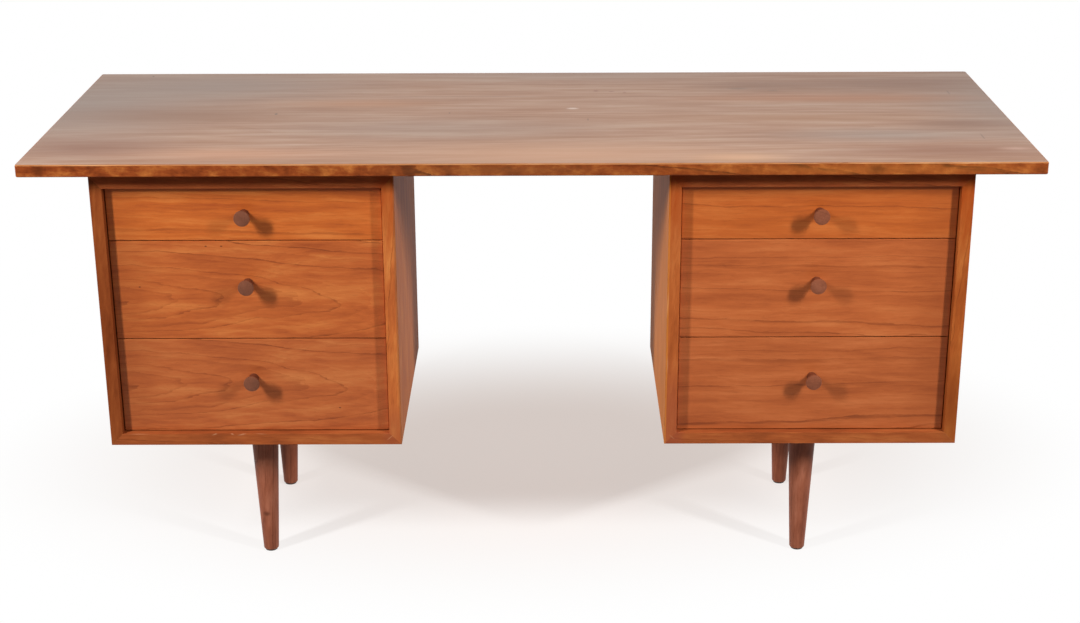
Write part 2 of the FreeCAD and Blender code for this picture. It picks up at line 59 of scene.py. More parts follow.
def add(tree, kind, inputs, give=0, stops=(), **settings):
    """Add a node and return one output. An input is a value, or the output that feeds it."""
    node = tree.nodes.new(kind)
    for setting, value in settings.items():
        setattr(node, setting, value)
    for socket, value in inputs.items():
        if isinstance(value, bpy.types.NodeSocket):
            tree.links.new(value, node.inputs[socket])
        else:
            node.inputs[socket].default_value = value
    if stops:
        ramp = node.color_ramp.elements
        ramp.remove(ramp[1])
        for position, hex_colour in stops:
            ramp.new(position).color = linear(hex_colour)
        ramp.remove(ramp[0])
    return node.outputs[give] if node.outputs else node


def blank_material(name):
    """A new material, and its empty node tree."""
    material = bpy.data.materials.new(name)
    material.use_nodes = True
    material.node_tree.nodes.clear()
    return material, material.node_tree


WAVE_LENGTH = 0.20
WAVE_WIDTH = 0.06


def wavy_trunk(tree, spot, pith, grain, wave):
    """A spot's place in the trunk, x along the grain, with the waves of the wood laid over it."""
    trunk = add(
        tree,
        "ShaderNodeMapping",
        {"Vector": spot, "Location": pith, "Rotation": grain},
        vector_type="TEXTURE",
    )
    wave_place = add(
        tree,
        "ShaderNodeVectorMath",
        {0: trunk, 1: (1 / WAVE_LENGTH, 1 / WAVE_WIDTH, 1 / WAVE_WIDTH)},
        operation="MULTIPLY",
    )
    wave_noise = add(
        tree,
        "ShaderNodeTexNoise",
        {"Vector": wave_place, "Scale": 1, "Detail": 6, "Roughness": 0.58},
        "Color",
    )
    return add(
        tree,
        "ShaderNodeVectorMath",
        {0: wave_noise, 1: (0, wave, wave), 2: trunk},
        operation="MULTIPLY_ADD",
    )


# Patches of the figure, from broad to fine: how long each is along the grain, and how wide.
PATCHES = {"mottle": (0.10, 0.022), "streak": (0.06, 0.005), "fibre": (0.022, 0.0018)}


def drawn_out(tree, wavy, reach):
    """Mottle, streaks and fibres, drawn out along the grain by reach."""
    figure = {}
    for patch, (along, across) in PATCHES.items():
        patch_place = add(
            tree,
            "ShaderNodeVectorMath",
            {0: wavy, 1: (1 / (along * reach), 1 / across, 1 / across)},
            operation="MULTIPLY",
        )
        figure[patch] = add(
            tree,
            "ShaderNodeTexNoise",
            {"Vector": patch_place, "Scale": 1, "Detail": 5, "Roughness": 0.6},
        )
    return figure


# Uneven years: how fast their width changes, and by how many years a ring can be out.
UNEVEN_PACE = 0.37
UNEVEN_YEARS = 2.4


def growth_rings(tree, wavy, ring):
    """How far through its year the wood is, from 0 to 1, and a number drawn for each year."""
    across_trunk = add(
        tree, "ShaderNodeVectorMath", {0: wavy, 1: (0, 1 / ring, 1 / ring)}, operation="MULTIPLY"
    )
    radius = add(tree, "ShaderNodeVectorMath", {0: across_trunk}, "Value", operation="LENGTH")
    uneven = add(
        tree,
        "ShaderNodeTexNoise",
        {"W": radius, "Scale": UNEVEN_PACE, "Detail": 1},
        noise_dimensions="1D",
    )
    count = add(
        tree, "ShaderNodeMath", {0: uneven, 1: UNEVEN_YEARS, 2: radius}, operation="MULTIPLY_ADD"
    )
    phase = add(tree, "ShaderNodeMath", {0: count}, operation="FRACT")
    year = add(tree, "ShaderNodeMath", {0: count}, operation="FLOOR")
    year_draw = add(tree, "ShaderNodeTexWhiteNoise", {"W": year}, noise_dimensions="1D")
    return phase, year_draw


def ring_lines(tree, phase, year_draw, streak, line):
    """The share of dark late wood and of the thin line that ends a year, stronger in some years."""
    late_wood = add(
        tree,
        "ShaderNodeMapRange",
        {"Value": phase, "From Min": 0.6, "From Max": 1, "To Max": 0.25},
        interpolation_type="SMOOTHSTEP",
    )
    thin_line = add(
        tree,
        "ShaderNodeMapRange",
        {"Value": phase, "From Min": 0.78, "From Max": 0.9},
        interpolation_type="SMOOTHSTEP",
    )
    year_share = add(
        tree,
        "ShaderNodeMapRange",
        {"Value": year_draw, "From Min": 0.4, "From Max": 0.9, "To Max": line},
    )
    line_fade = add(
        tree,
        "ShaderNodeMapRange",
        {"Value": streak, "From Min": 0.62, "From Max": 0.38, "To Min": 0.25},
    )
    line_share = add(tree, "ShaderNodeMath", {0: late_wood, 1: thin_line}, operation="MAXIMUM")
    for share in (year_share, line_fade):
        line_share = add(tree, "ShaderNodeMath", {0: line_share, 1: share}, operation="MULTIPLY")
    return line_share


ARRIS_WIDTH = 0.0015
RUB_SIZE = 0.03


def rubbed(tree, spot, wear):
    """The share that is rubbed off: where a face turns into an arris, and there only in places."""
    face_normal = add(tree, "ShaderNodeNewGeometry", {}, "Normal")
    rounded_normal = add(tree, "ShaderNodeBevel", {"Radius": ARRIS_WIDTH}, samples=4)
    alike = add(
        tree,
        "ShaderNodeVectorMath",
        {0: rounded_normal, 1: face_normal},
        "Value",
        operation="DOT_PRODUCT",
    )
    arris = add(tree, "ShaderNodeMapRange", {"Value": alike, "From Min": 0.97, "From Max": 0.86})
    rub = add(tree, "ShaderNodeTexNoise", {"Vector": spot, "Scale": 1 / RUB_SIZE, "Detail": 5})
    rub_share = add(
        tree,
        "ShaderNodeMapRange",
        {"Value": rub, "From Min": 0.5, "From Max": 0.66, "To Min": 0.1 * wear, "To Max": wear},
    )
    return add(tree, "ShaderNodeMath", {0: arris, 1: rub_share}, operation="MULTIPLY")


RAW_WALNUT = "#D39A68"
TONE_BASE = 0.1
STREAK_SHARE = 0.2
MOTTLE_SHARE = 0.65
LATE_WOOD_SHARE = -0.05
TONE_STOPS = (0.34, 0.5, 0.66)
POLISH_RANGE = 0.08
FIBRE_HEIGHT = 0.0003

# A mix node repeats its sockets' names for each kind of data. These are the colours' numbers.
MIX_SHARE = 0
MIX_FROM = 6
MIX_TO = 7
MIX_RESULT = 2


def sawn_wood(
    name,
    tones,
    line_colour,
    pith,
    grain,
    ring=0.008,
    wave=0.014,
    reach=1,
    line=0.8,
    pore=0.3,
    wear=0.5,
    worn_colour=RAW_WALNUT,
    roughness=0.5,
    gloss=0.3,
):
    """A board sawn from a trunk whose pith runs through the point pith, turned to the grain.

    Growth rings cut by the board's faces give arches and lines. Their width, the size of their
    waves and every other length is in metres, and reach draws the figure out along the grain.
    Fibres and pores are drawn about twice as coarse as they are, or they would not show.
    """
    material, tree = blank_material(name)
    spot = add(tree, "ShaderNodeTexCoord", {}, "Object")
    wavy = wavy_trunk(tree, spot, pith, grain, wave)
    figure = drawn_out(tree, wavy, reach)
    phase, year_draw = growth_rings(tree, wavy, ring)

    tone = TONE_BASE
    for part, share in (
        (figure["streak"], STREAK_SHARE),
        (figure["mottle"], MOTTLE_SHARE),
        (phase, LATE_WOOD_SHARE),
    ):
        tone = add(
            tree, "ShaderNodeMath", {0: part, 1: share, 2: tone}, operation="MULTIPLY_ADD"
        )
    wood = add(tree, "ShaderNodeValToRGB", {"Fac": tone}, stops=tuple(zip(TONE_STOPS, tones)))
    pore_share = add(
        tree,
        "ShaderNodeMapRange",
        {"Value": figure["fibre"], "From Min": 0.52, "From Max": 0.75, "To Max": pore},
    )
    for share, hex_colour in (
        (ring_lines(tree, phase, year_draw, figure["streak"], line), line_colour),
        (pore_share, line_colour),
        (rubbed(tree, spot, wear), worn_colour),
    ):
        wood = add(
            tree,
            "ShaderNodeMix",
            {MIX_SHARE: share, MIX_FROM: wood, MIX_TO: linear(hex_colour)},
            MIX_RESULT,
            data_type="RGBA",
        )

    polish = add(
        tree,
        "ShaderNodeMapRange",
        {
            "Value": figure["streak"],
            "To Min": roughness - POLISH_RANGE,
            "To Max": roughness + POLISH_RANGE,
        },
    )
    relief = add(
        tree,
        "ShaderNodeBump",
        {"Height": figure["fibre"], "Strength": 0.25, "Distance": FIBRE_HEIGHT},
    )
    shader = add(
        tree,
        "ShaderNodeBsdfPrincipled",
        {
            "Base Color": wood,
            "Roughness": polish,
            "IOR": 1.5,
            "Specular IOR Level": gloss,
            "Normal": relief,
        },
    )
    add(tree, "ShaderNodeOutputMaterial", {"Surface": shader})
    return material


def stain(material, place, size, hex_colour, share, core=0.5, turn=0):
    """Tint a material in one oval spot, fading from its core out. The turn is about the depth."""
    tree = material.node_tree
    shader = tree.nodes["Principled BSDF"]
    colour = shader.inputs["Base Color"].links[0].from_socket
    spot = add(tree, "ShaderNodeTexCoord", {}, "Object")
    oval = add(
        tree,
        "ShaderNodeMapping",
        {
            "Vector": spot,
            "Location": place,
            "Rotation": (0, math.radians(turn), 0),
            "Scale": [length / 2 for length in size],
        },
        vector_type="TEXTURE",
    )
    distance = add(tree, "ShaderNodeVectorMath", {0: oval}, "Value", operation="LENGTH")
    strength = add(
        tree,
        "ShaderNodeMapRange",
        {"Value": distance, "From Min": 1, "From Max": core, "To Max": share},
        interpolation_type="SMOOTHSTEP",
    )
    tinted = add(
        tree,
        "ShaderNodeMix",
        {MIX_SHARE: strength, MIX_FROM: colour, MIX_TO: linear(hex_colour)},
        MIX_RESULT,
        data_type="RGBA",
    )
    tree.links.new(tinted, shader.inputs["Base Color"])


def finish_node(node_name, material):
    """Give one node of the frame its finish."""
    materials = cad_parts[node_name].data.materials
    materials.clear()
    materials.append(material)


SIDES = {"left": -1, "right": 1}
CASE_LINE = "#5E2B12"
CASE_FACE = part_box("left_case_bottom")[0].y
CASE_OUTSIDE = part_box("right_case_outer_side")[1].x
CASE_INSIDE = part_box("right_case_inner_side")[0].x

# Knocks and scratches on the front edges, which show paler wood.
# Each has its place, size, colour, share, core and turn in degrees.
KNOCKS = (
    ((-0.680, CASE_FACE, 0.2685), (0.050, 0.006, 0.0024), "#C98E66", 0.4, 0, 0),
    ((-0.550, CASE_FACE, 0.2680), (0.014, 0.006, 0.0030), "#D9A983", 0.5, 0, -20),
    ((-0.520, CASE_FACE, 0.2685), (0.010, 0.006, 0.0034), "#D9A983", 0.5, 0, 30),
    ((-0.503, CASE_FACE, 0.2675), (0.020, 0.006, 0.0034), "#D9A983", 0.5, 0, -12),
    ((-0.470, CASE_FACE, 0.2685), (0.030, 0.006, 0.0022), "#C98E66", 0.4, 0, 4),
    ((-0.247, CASE_FACE, 0.2610), (0.019, 0.006, 0.0022), "#DB9A68", 0.8, 0.3, -42),
    ((0.240, CASE_FACE, 0.2610), (0.017, 0.006, 0.0022), "#DB9A68", 0.8, 0.3, 42),
    ((0.2285, CASE_FACE, 0.505), (0.0035, 0.006, 0.060), "#D9A27A", 0.5, 0.2, 3),
    ((0.2300, CASE_FACE, 0.395), (0.0030, 0.006, 0.040), "#D9A27A", 0.4, 0.2, 0),
)

# Painted shade and tints, given in the same way: the slab's shadow painted over the upper ends of
# the front edges of three uprights, the same edges darker towards their lower ends, and a tint over
# each face towards the kneehole.
PAINTED_SHADE_AND_TINTS = (
    ((0.7200, CASE_FACE, 0.320), (0.060, 0.060, 0.260), "#7A3A18", 0.6, 0, 0),
    # Painted shade: the slab's shadow over the upper ends of three front edges.
    ((-0.2375, CASE_FACE, 0.700), (0.060, 0.030, 0.22), "#A13B0D", 0.5, 0.3, 0),
    ((0.2375, CASE_FACE, 0.700), (0.060, 0.030, 0.22), "#A13B0D", 0.5, 0.3, 0),
    ((0.7195, CASE_FACE, 0.700), (0.060, 0.030, 0.22), "#A13B0D", 0.5, 0.3, 0),
    ((-0.2375, CASE_FACE, 0.262), (0.060, 0.030, 0.16), "#994B33", 0.45, 0.3, 0),
    ((0.2375, CASE_FACE, 0.270), (0.060, 0.030, 0.32), "#994B33", 0.6, 0.3, 0),
    ((-CASE_INSIDE, -0.05, 0.49), (0.008, 0.90, 0.90), "#865C3C", 0.4, 0.9, 0),
    ((CASE_INSIDE, -0.05, 0.49), (0.008, 0.90, 0.90), "#DE8F3B", 0.4, 0.9, 0),
)

# Uprights, each with the place of its outer face and its own tones.
uprights = {
    "left_case_outer_side": (-CASE_OUTSIDE, ("#6C3115", "#8A4420", "#A2572B")),
    "left_case_inner_side": (-CASE_INSIDE, ("#A8542C", "#C66C36", "#DA8646")),
    "right_case_inner_side": (CASE_INSIDE, ("#9C4E26", "#B86230", "#CC7A42")),
    "right_case_outer_side": (CASE_OUTSIDE, ("#94461E", "#AE5A28", "#C27036")),
}
for board, (across, tones) in uprights.items():
    upright_walnut = sawn_wood(
        f"oiled_walnut_{board}",
        tones,
        CASE_LINE,
        pith=(across + 0.11, 0.05, 0.1),
        grain=(0, math.radians(-85), math.radians(2)),
        ring=0.006,
        line=0.35,
        roughness=0.6,
        gloss=0.1,
    )
    for mark in KNOCKS + PAINTED_SHADE_AND_TINTS:
        stain(upright_walnut, *mark)
    finish_node(board, upright_walnut)

# Level boards, each with the height of its outer face and its own tones.
level_boards = {
    "top": (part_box("left_case_top")[1].z, ("#9A4C2A", "#BA6034", "#CC7642")),
    "bottom": (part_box("left_case_bottom")[0].z, ("#864424", "#A6562D", "#BC6C3A")),
}
for case, side in SIDES.items():
    for board, (height, tones) in level_boards.items():
        level_walnut = sawn_wood(
            f"oiled_walnut_{case}_case_{board}",
            tones,
            CASE_LINE,
            pith=(side * 0.47, 0.02, height - 0.12),
            grain=(0, math.radians(2), math.radians(1)),
            ring=0.005,
            line=0.6,
            roughness=0.65,
            gloss=0.1,
        )
        for mark in KNOCKS + PAINTED_SHADE_AND_TINTS:
            stain(level_walnut, *mark)
        finish_node(f"{case}_case_{board}", level_walnut)

# Splines: strips of birch plywood glued across the mitres, out of sight.
# Pale wood with faint rings.
birch_plywood = sawn_wood(
    "birch_plywood",
    ("#C9A06C", "#D9B684", "#E4C699"),
    "#A97C4A",
    pith=(0.05, 0.02, -0.3),
    grain=(0, 0, math.radians(1.5)),
    line=0.3,
    worn_colour="#E8D2AC",
)
finish_node("case_splines", birch_plywood)

# Spacers: two walnut battens on each case, under the slab and well back from the case's edges.
# The slab's screws go through them, and they hold it clear of the case.
DARK_TONES = ("#7C3A1A", "#9C4D24", "#B4622F")
spacer_walnut = sawn_wood(
    "oiled_walnut_spacers",
    DARK_TONES,
    CASE_LINE,
    pith=(0.1, 0, 0.6),
    grain=(0, math.radians(1), math.radians(91)),
)
finish_node("top_spacers", spacer_walnut)

# Case backs: thin walnut-faced panels, let into a rabbet round the back of each case.
# Eight small countersunk screws hold each one.
for case, side in SIDES.items():
    panel_walnut = sawn_wood(
        f"walnut_veneer_{case}_back",
        DARK_TONES,
        CASE_LINE,
        pith=(side * 0.45, 0.28, 0.2),
        grain=(0, math.radians(-88), math.radians(1)),
        line=0.5,
    )
    finish_node(f"{case}_case_back", panel_walnut)


# Fasteners: bright zinc-plated steel screws, hanger bolts and leg plates.
# The plating is fine-grained and slightly clouded, with a bluish white cast.
def clouded(name, cloud_size, detail, stops, roughness, **sockets):
    """A plain material whose colour and roughness vary a little, in clouds of a given size."""
    material, tree = blank_material(name)
    spot = add(tree, "ShaderNodeTexCoord", {}, "Object")
    cloud = add(
        tree, "ShaderNodeTexNoise", {"Vector": spot, "Scale": 1 / cloud_size, "Detail": detail}
    )
    colour = add(tree, "ShaderNodeValToRGB", {"Fac": cloud}, stops=stops)
    smooth, rough = roughness
    dullness = add(
        tree, "ShaderNodeMapRange", {"Value": cloud, "To Min": smooth, "To Max": rough}
    )
    shader = add(
        tree, "ShaderNodeBsdfPrincipled", {"Base Color": colour, "Roughness": dullness, **sockets}
    )
    add(tree, "ShaderNodeOutputMaterial", {"Surface": shader})
    return material


zinc_plate = clouded(
    "zinc_plated_steel",
    cloud_size=0.008,
    detail=4,
    stops=((0.3, "#8F9396"), (0.7, "#B9BCBE")),
    roughness=(0.28, 0.5),
    Metallic=1,
)
for fastener in ("leg_plates", "leg_bolts", "plate_screws", "light_screws", "top_screws"):
    finish_node(fastener, zinc_plate)

# Runners: planed maple strips screwed to the case sides, waxed where the drawers slide on them.
# Pale, close-grained wood with faint rings.
MAPLE_TONES = ("#C79B66", "#D6AE7B", "#E0BE90")
MAPLE_LINE = "#A87B4A"
RAW_MAPLE = "#EAD3AE"
maple_lengthwise = sawn_wood(
    "waxed_maple_lengthwise",
    MAPLE_TONES,
    MAPLE_LINE,
    pith=(0.1, 0, 0.2),
    grain=(0, math.radians(1), math.radians(91)),
    ring=0.004,
    line=0.35,
    worn_colour=RAW_MAPLE,
    roughness=0.45,
)
finish_node("drawer_runners", maple_lengthwise)

# Legs: four walnut spindles turned on a lathe to a straight taper, oiled.
# Each is drawn up to its plate by a hanger bolt, one in front and one behind under each case.
LATHE_SEGMENTS = 64
SMOOTH_ANGLE = math.radians(35)


def call_piece(piece, name):
    """Name a piece and its mesh."""
    piece.name = name
    piece.data.name = name


def select_only(*pieces):
    """Select these pieces and nothing else. The first one is the active one."""
    bpy.ops.object.select_all(action="DESELECT")
    for piece in pieces:
        piece.select_set(True)
    bpy.context.view_layer.objects.active = pieces[0]


def turned(name, profile):
    """Turn a piece on the lathe, standing on the origin. A station is a height and a radius."""
    bpy.ops.object.select_all(action="DESELECT")
    bpy.ops.mesh.primitive_circle_add(
        vertices=LATHE_SEGMENTS, radius=profile[0][1], fill_type="NGON"
    )
    piece = bpy.context.object
    call_piece(piece, name)
    bpy.ops.object.mode_set(mode="EDIT")
    bpy.ops.mesh.select_all(action="SELECT")
    for (height, radius), (next_height, next_radius) in zip(profile, profile[1:]):
        bpy.ops.mesh.extrude_region_move(
            TRANSFORM_OT_translate={"value": (0, 0, next_height - height)}
        )
        swell = next_radius / radius
        bpy.ops.transform.resize(
            value=(swell, swell, 1), center_override=(0, 0, next_height)
        )
    bpy.ops.mesh.select_all(action="SELECT")
    bpy.ops.mesh.normals_make_consistent(inside=False)
    bpy.ops.object.mode_set(mode="OBJECT")
    bpy.ops.object.shade_smooth_by_angle(angle=SMOOTH_ANGLE)
    return piece


def copy_piece(piece, name):
    """A copy of a piece, with a mesh of its own."""
    select_only(piece)
    bpy.ops.object.duplicate(linked=False)
    twin = bpy.context.object
    call_piece(twin, name)
    return twin


def set_down(piece, place, turn=(0, 0, 0)):
    """Move and turn a piece to its place, and leave the place in its mesh."""
    select_only(piece)
    piece.location = place
    piece.rotation_euler = turn
    bpy.ops.object.transform_apply(location=True, rotation=True, scale=True)


leg_low, leg_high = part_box("left_front_leg")
leg_height = leg_high.z - leg_low.z
LEG_ENDS = ("front", "back")
LEG_TOP_RADIUS = 0.025
LEG_FOOT_RADIUS = 0.0135
FOOT_EASE = 0.002
FOOT_STEPS = (0.3, 0.7, 1)
TAPER_STEPS = (0.2, 0.4, 0.6, 0.8, 1)
leg_profile = [(0, LEG_FOOT_RADIUS - FOOT_EASE)]
for step in FOOT_STEPS:
    quarter_turn = step * math.pi / 2
    leg_profile.append(
        (
            FOOT_EASE * (1 - math.cos(quarter_turn)),
            LEG_FOOT_RADIUS - FOOT_EASE * (1 - math.sin(quarter_turn)),
        )
    )
for step in TAPER_STEPS:
    leg_profile.append(
        (leg_height * step, LEG_FOOT_RADIUS + (LEG_TOP_RADIUS - LEG_FOOT_RADIUS) * step)
    )
leg_walnut = sawn_wood(
    "oiled_walnut_leg",
    ("#7A402C", "#9E5B41", "#B67257"),
    "#42200F",
    pith=(0.03, 0.1, 0),
    grain=(0, math.radians(-88), math.radians(3)),
    wave=0.016,
    line=0.6,
    wear=0.3,
    gloss=0.2,
)

# A small dark knot, low on the left front leg.
stain(leg_walnut, (-0.481, -0.212, 0.078), (0.020, 0.02, 0.014), "#4A2414", 0.7, core=0.1)
first_leg = turned("turned_leg", leg_profile)
for case in SIDES:
    for end in LEG_ENDS:
        node = f"{case}_{end}_leg"
        low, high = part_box(node)
        leg = copy_piece(first_leg, f"{case}_{end}_turned_leg")
        set_down(leg, ((low.x + high.x) / 2, (low.y + high.y) / 2, low.z))
        leg.data.materials.append(leg_walnut)
        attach(leg, "desk")
        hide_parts(node)
bpy.data.objects.remove(first_leg)

# Glides: dark brown nylon discs tacked under the feet, moulded with a rounded rim.
# They keep the end grain off the floor.
GLIDE_RADIUS = 0.011
GLIDE_EASE = 0.0008
RIM_STEP = 0.3
glide_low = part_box("foot_glides")[0]
glide_thick = leg_low.z - glide_low.z
glide_nylon = clouded(
    "moulded_nylon_brown",
    cloud_size=0.004,
    detail=3,
    stops=((0.35, "#1E1714"), (0.7, "#3A2E28")),
    roughness=(0.4, 0.65),
    IOR=1.53,
)
glide_profile = (
    (0, GLIDE_RADIUS - GLIDE_EASE),
    (GLIDE_EASE * RIM_STEP, GLIDE_RADIUS - GLIDE_EASE * RIM_STEP),
    (GLIDE_EASE, GLIDE_RADIUS),
    (glide_thick, GLIDE_RADIUS),
)
first_glide = turned("turned_glide", glide_profile)
glides = []
for case in SIDES:
    for end in LEG_ENDS:
        low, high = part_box(f"{case}_{end}_leg")
        glide = copy_piece(first_glide, f"{case}_{end}_glide")
        set_down(glide, ((low.x + high.x) / 2, (low.y + high.y) / 2, glide_low.z))
        glides.append(glide)
bpy.data.objects.remove(first_glide)
select_only(*glides)
bpy.ops.object.join()
call_piece(glides[0], "nylon_glides")
glides[0].data.materials.append(glide_nylon)
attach(glides[0], "desk")
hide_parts("foot_glides")

# Drawer boxes: maple sides and backs, planed and left bare, round a birch plywood bottom.
# The sides are dovetailed into the fronts and run on the maple strips in the case.
DRAWER_LEVELS = ("top", "middle", "bottom")
maple_crosswise = sawn_wood(
    "planed_maple_crosswise",
    MAPLE_TONES,
    MAPLE_LINE,
    pith=(0, 0.1, 0.25),
    grain=(0, math.radians(1), math.radians(1)),
    ring=0.004,
    line=0.35,
    worn_colour=RAW_MAPLE,
)
for case in SIDES:
    for level in DRAWER_LEVELS:
        drawer = f"{case}_{level}_drawer"
        finish_node(f"{drawer}_left_side", maple_lengthwise)
        finish_node(f"{drawer}_right_side", maple_lengthwise)
        finish_node(f"{drawer}_back", maple_crosswise)
        finish_node(f"{drawer}_bottom", birch_plywood)

# Drawer fronts: walnut boards with the grain lengthwise, each from its own place in the trunk.
# They sit back between the case's boards, with hairline gaps and no rails.
FRONT_LINE = "#6A3014"
FRONT_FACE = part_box("left_top_drawer_front")[0].y

# Each front has its tones, its pith along, behind the face and up, the turn of its grain in
# degrees, and the strength of its lines.
fronts = {
    "left_top": (("#A85022", "#C5662B", "#D87E3D"), (-0.40, 0.10, 0.52), (0, 0.5, 1.5), 0.5),
    "left_middle": (("#9D4B23", "#BB612F", "#CF7A3F"), (-0.42, 0.085, 0.522), (0, 0, 5), 0.75),
    "left_bottom": (("#9B4C27", "#B66032", "#C87742"), (-0.415, 0.085, 0.368), (0, 0, 5), 0.75),
    "right_top": (("#A65122", "#BC6029", "#CB7237"), (0.40, 0.12, 0.52), (0, 0.6, 1), 0.6),
    "right_middle": (("#A25128", "#B86132", "#C7723F"), (0.45, 0.10, 0.36), (0, -0.5, 2.5), 0.65),
    "right_bottom": (("#9C4E27", "#B25E31", "#C36F3F"), (0.48, 0.12, 0.20), (0, 0.4, -2.5), 0.65),
}

# The fronts are darker towards the desk's ends, and four small dark specks lie on the left ones.
DARK_ENDS = ((-0.71, 0.38), (0.71, 0.34))
END_HEIGHT = 0.49
END_SIZE = (0.20, 0.02, 1.2)
SPECKS = ((-0.546, 0.606), (-0.520, 0.606), (-0.662, 0.534), (-0.333, 0.312))
SPECK_SIZE = (0.005, 0.005, 0.003)
for drawer, (tones, (along, depth, height), turn, line) in fronts.items():
    front_walnut = sawn_wood(
        f"oiled_walnut_{drawer}_front",
        tones,
        FRONT_LINE,
        pith=(along, FRONT_FACE + depth, height),
        grain=[math.radians(angle) for angle in turn],
        wave=0.022,
        reach=1.8,
        line=line,
        pore=0.25,
    )
    for end, share in DARK_ENDS:
        stain(front_walnut, (end, FRONT_FACE, END_HEIGHT), END_SIZE, "#7E3A16", share, core=0)
    for speck, speck_height in SPECKS:
        stain(front_walnut, (speck, FRONT_FACE, speck_height), SPECK_SIZE, "#4A2412", 0.8)
    finish_node(f"{drawer}_drawer_front", front_walnut)

# Knobs: turned from darker walnut with a flat face, a narrow waist and a tenon behind.
# The tenon is glued into the front.
KNOB_TONES = {"left": ("#6E4331", "#7B4A36", "#87533E"), "right": ("#7A4530", "#894F37", "#965A41")}
KNOB_PROFILE = (
    (0, 0.0083),
    (0.0006, 0.0085),
    (0.003, 0.0074),
    (0.007, 0.0063),
    (0.011, 0.0060),
    (0.015, 0.0064),
    (0.019, 0.0078),
    (0.022, 0.0100),
    (0.0245, 0.0127),
    (0.0251, 0.0131),
    (0.0258, 0.0134),
    (0.0265, 0.0135),
    (0.0278, 0.0135),
    (0.0284, 0.0133),
    (0.0288, 0.0130),
    (0.029, 0.0126),
)

# The knobs' waists are painted darker than their faces, as painted shade under the heads.
# One flat layer takes in all six.
PAINTED_WAIST_SHADE = (0, FRONT_FACE - 0.008, 0.5)
PAINTED_WAIST_SHADE_SIZE = (8, 0.030, 4)
first_knob = turned("turned_knob", KNOB_PROFILE)
for case in SIDES:
    knob_walnut = sawn_wood(
        f"turned_walnut_{case}_knobs",
        KNOB_TONES[case],
        "#4C281A",
        pith=(0.47, 0, 0.62),
        grain=(0, 0, math.radians(88)),
        ring=0.003,
        wave=0.004,
        line=0.3,
        wear=0.4,
        roughness=0.45,
        gloss=0.2,
    )
    stain(knob_walnut, PAINTED_WAIST_SHADE, PAINTED_WAIST_SHADE_SIZE, "#5A2410", 0.6, core=0.8)
    for level in DRAWER_LEVELS:
        node = f"{case}_{level}_drawer_knob"
        low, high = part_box(node)
        knob = copy_piece(first_knob, f"{case}_{level}_turned_knob")
        place = ((low.x + high.x) / 2, FRONT_FACE, (low.z + high.z) / 2)
        set_down(knob, place, (math.radians(90), 0, 0))
        knob.data.materials.append(knob_walnut)
        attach(knob, f"{case}_{level}_drawer")
        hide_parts(node)
bpy.data.objects.remove(first_knob)

# Desk top: one long walnut slab, its corners and arrises eased by hand, its face lacquered satin.
# Years of use have clouded the lacquer and rubbed the arrises pale. The grey clouds on the face are
# also painted reflection of the white room, and the pale arrises also a painted highlight.
slab_low, slab_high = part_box("desk_top")
SLAB_CORNER = 0.004
CORNER_STEPS = 6
SLAB_ARRIS = 0.002
ARRIS_STEPS = 4
bpy.ops.object.select_all(action="DESELECT")
bpy.ops.mesh.primitive_cube_add(
    size=1, location=(slab_low + slab_high) / 2, scale=slab_high - slab_low
)
slab = bpy.context.object
call_piece(slab, "walnut_slab")
bpy.ops.object.transform_apply(location=True, rotation=True, scale=True)


def bevel_edges(piece, wanted, width, segments):
    """Round the edges of a piece whose two ends are as wanted."""
    bpy.ops.object.mode_set(mode="EDIT")
    bpy.ops.mesh.select_mode(type="EDGE")
    bpy.ops.mesh.select_all(action="DESELECT")
    bpy.ops.object.mode_set(mode="OBJECT")
    points = piece.data.vertices
    for edge in piece.data.edges:
        start, end = (points[number].co for number in edge.vertices)
        edge.select = wanted(start, end)
    bpy.ops.object.mode_set(mode="EDIT")
    bpy.ops.mesh.bevel(offset=width, segments=segments, affect="EDGES")
    bpy.ops.object.mode_set(mode="OBJECT")


HAIR = 1e-5
bevel_edges(slab, lambda start, end: abs(start.z - end.z) > HAIR, SLAB_CORNER, CORNER_STEPS)
bevel_edges(slab, lambda start, end: abs(start.z - end.z) < HAIR, SLAB_ARRIS, ARRIS_STEPS)
bpy.ops.object.shade_smooth_by_angle(angle=SMOOTH_ANGLE)
even_out = slab.modifiers.new("even_out", "WEIGHTED_NORMAL")
even_out.keep_sharp = True
bpy.ops.object.modifier_apply(modifier=even_out.name)
SLAB_TRUNK = {"pith": (0.1, -0.1, slab_high.z - 0.30), "grain": (0, 0.014, 0.010), "ring": 0.009}
face_walnut = sawn_wood(
    "lacquered_walnut_slab_face",
    ("#9E6A46", "#B2866A", "#C4A28A"),
    "#7A4E34",
    wave=0.005,
    reach=2.4,
    line=0.4,
    pore=0.2,
    roughness=0.4,
    gloss=0.28,
    **SLAB_TRUNK,
)
